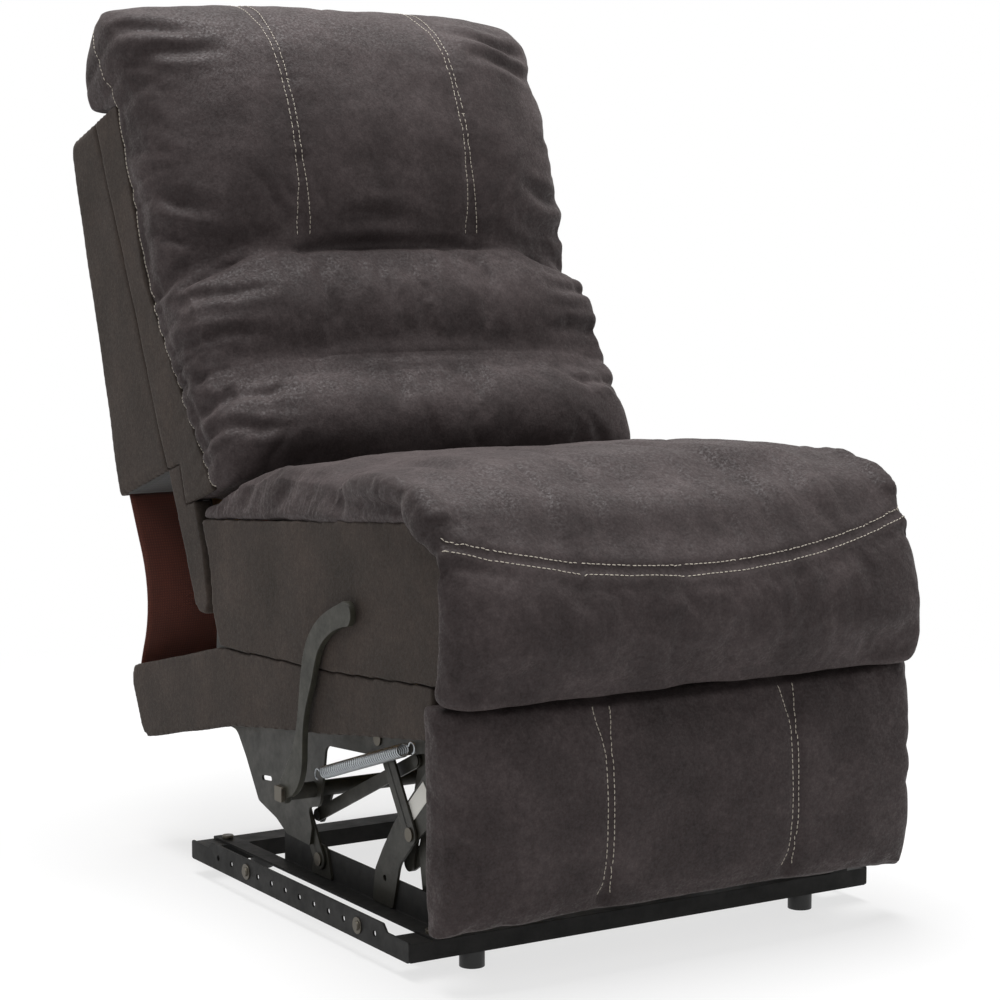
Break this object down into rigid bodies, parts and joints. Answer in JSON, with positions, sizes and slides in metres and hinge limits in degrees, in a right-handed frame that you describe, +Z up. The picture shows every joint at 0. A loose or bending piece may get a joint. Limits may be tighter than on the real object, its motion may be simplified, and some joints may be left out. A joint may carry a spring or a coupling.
{
  "type": "armless recliner",
  "caption": "Armless reclining seat for a modular sofa: gliding seat, reclining three-pillow back and lever-driven folding footrest on a steel base.",
  "frame": {"origin": "on the floor under the centre of the closed chair's bounding box", "axes": "+Z up, -Y towards the footrest and the front, +X to the right for someone who faces the chair; the lever is on the -X side"},
  "size_m": [0.61, 0.9964, 1.0372],
  "materials": {
    "cushion_cover": "brushed microfibre with a soft sheen",
    "panel_cover": "plain brushed microfibre",
    "mechanism_steel": "satin dark olive paint",
    "base_steel": "satin black paint",
    "fastener_steel": "dull burnished steel",
    "glide_plastic": "moulded",
    "frame_wood": "sawn plywood",
    "spring_wire": "zinc plated wire",
    "foam": "open cell foam",
    "lining_cloth": "woven lining",
    "dust_cloth": "non-woven cambric"
  },
  "bodies": {
    "base": {"front_cross_tube": "base_steel", "rear_cross_tube": "base_steel", "left_base_rail": "base_steel", "right_base_rail": "base_steel", "left_side_rail": "base_steel", "right_side_rail": "base_steel", "side_rail_studs": "fastener_steel", "floor_glides": "glide_plastic", "base_bolts": "fastener_steel", "left_front_upright": "mechanism_steel", "right_front_upright": "mechanism_steel", "rear_uprights": "mechanism_steel", "base_pivot_pins": "fastener_steel"},
    "rear_swing": {"rear_swing_links": "mechanism_steel"},
    "front_swing": {"front_swing_links": "mechanism_steel"},
    "seat": {"left_seat_plate": "mechanism_steel", "right_seat_plate": "mechanism_steel", "footrest_hangers": "mechanism_steel", "seat_pivot_pins": "fastener_steel", "left_side_board": "frame_wood", "right_side_board": "frame_wood", "front_rail": "frame_wood", "rear_rail": "frame_wood", "seat_springs": "spring_wire", "seat_foam": "foam", "seat_cushion": "cushion_cover", "seat_front_pillow": "cushion_cover", "left_seat_gusset": "panel_cover", "right_seat_gusset": "panel_cover", "left_side_band": "panel_cover", "right_side_band": "panel_cover", "left_extension_spring": "spring_wire", "right_extension_spring": "spring_wire", "drop_cloth": "lining_cloth"},
    "back": {"left_back_post": "frame_wood", "right_back_post": "frame_wood", "back_rails": "frame_wood", "back_brackets": "mechanism_steel", "back_springs": "spring_wire", "headrest_cushion": "cushion_cover", "lumbar_cushion": "cushion_cover", "lower_back_cushion": "cushion_cover", "left_back_boxing": "panel_cover", "right_back_boxing": "panel_cover", "back_shell": "panel_cover", "left_post_cover": "panel_cover", "right_post_cover": "panel_cover", "back_dust_cover": "dust_cloth"},
    "drive_shaft": {"torque_tube": "mechanism_steel", "lever": "mechanism_steel", "lever_nut": "fastener_steel"},
    "drive_link": {"drive_links": "mechanism_steel"},
    "front_arm": {"front_arms": "mechanism_steel"},
    "rear_arm": {"rear_arms": "mechanism_steel"},
    "lower_arm": {"lower_arms": "mechanism_steel"},
    "outer_arm": {"outer_arms": "mechanism_steel"},
    "footrest": {"footrest_brackets": "mechanism_steel", "footrest_board": "frame_wood", "footrest_pad": "cushion_cover"}
  },
  "joints": [
    {"name": "seat_glide", "type": "hinge", "parent": "base", "child": "rear_swing", "pos_m": [0, -0.10696, 0.062], "axis": [1, 0, 0], "range_deg": [0, 48]},
    {"name": "front_swing_turn", "type": "hinge", "parent": "base", "child": "front_swing", "pos_m": [0, -0.31196, 0.132], "axis": [1, 0, 0], "range_deg": [0, 48.05]},
    {"name": "seat_level", "type": "hinge", "parent": "rear_swing", "child": "seat", "pos_m": [0, -0.04696, 0.154], "axis": [1, 0, 0], "range_deg": [-48.05, 0]},
    {"name": "back_recline", "type": "hinge", "parent": "seat", "child": "back", "pos_m": [0, 0.12304, 0.32], "axis": [1, 0, 0], "range_deg": [-30.05, 0], "deforming": ["drop_cloth"]},
    {"name": "footrest_open", "type": "hinge", "parent": "seat", "child": "front_arm", "pos_m": [0, -0.36576, 0.2519], "axis": [1, 0, 0], "range_deg": [-89.98, 0]},
    {"name": "rear_arm_turn", "type": "hinge", "parent": "seat", "child": "rear_arm", "pos_m": [0, -0.32556, 0.2433], "axis": [1, 0, 0], "range_deg": [-85.02, 0]},
    {"name": "lower_arm_turn", "type": "hinge", "parent": "front_arm", "child": "lower_arm", "pos_m": [0, -0.31426, 0.1127], "axis": [1, 0, 0], "range_deg": [0, 99.67]},
    {"name": "footrest_tilt", "type": "hinge", "parent": "lower_arm", "child": "footrest", "pos_m": [0, -0.38816, 0.2566], "axis": [1, 0, 0], "range_deg": [-105.69, 0]},
    {"name": "outer_arm_turn", "type": "hinge", "parent": "front_arm", "child": "outer_arm", "pos_m": [0, -0.32476, 0.0551], "axis": [1, 0, 0], "range_deg": [0, 102.23]},
    {"name": "lever_turn", "type": "hinge", "parent": "seat", "child": "drive_shaft", "pos_m": [0, -0.10296, 0.141], "axis": [1, 0, 0], "range_deg": [-85.02, 0], "deforming": ["left_extension_spring", "right_extension_spring"]},
    {"name": "drive_link_turn", "type": "hinge", "parent": "drive_shaft", "child": "drive_link", "pos_m": [0, -0.08296, 0.10636], "axis": [1, 0, 0], "range_deg": [0, 85.02]}
  ],
  "couplings": [
    {"joint": "front_swing_turn", "follows": "seat_glide", "ratio": 1},
    {"joint": "seat_level", "follows": "seat_glide", "ratio": -1},
    {"joint": "back_recline", "follows": "seat_glide", "ratio": -0.625},
    {"joint": "rear_arm_turn", "follows": "footrest_open", "ratio": 0.9444},
    {"joint": "lower_arm_turn", "follows": "footrest_open", "ratio": -1.1072},
    {"joint": "footrest_tilt", "follows": "footrest_open", "ratio": 1.1741},
    {"joint": "outer_arm_turn", "follows": "footrest_open", "ratio": -1.1356},
    {"joint": "lever_turn", "follows": "footrest_open", "ratio": 0.9444},
    {"joint": "drive_link_turn", "follows": "footrest_open", "ratio": -0.9444}
  ]
}
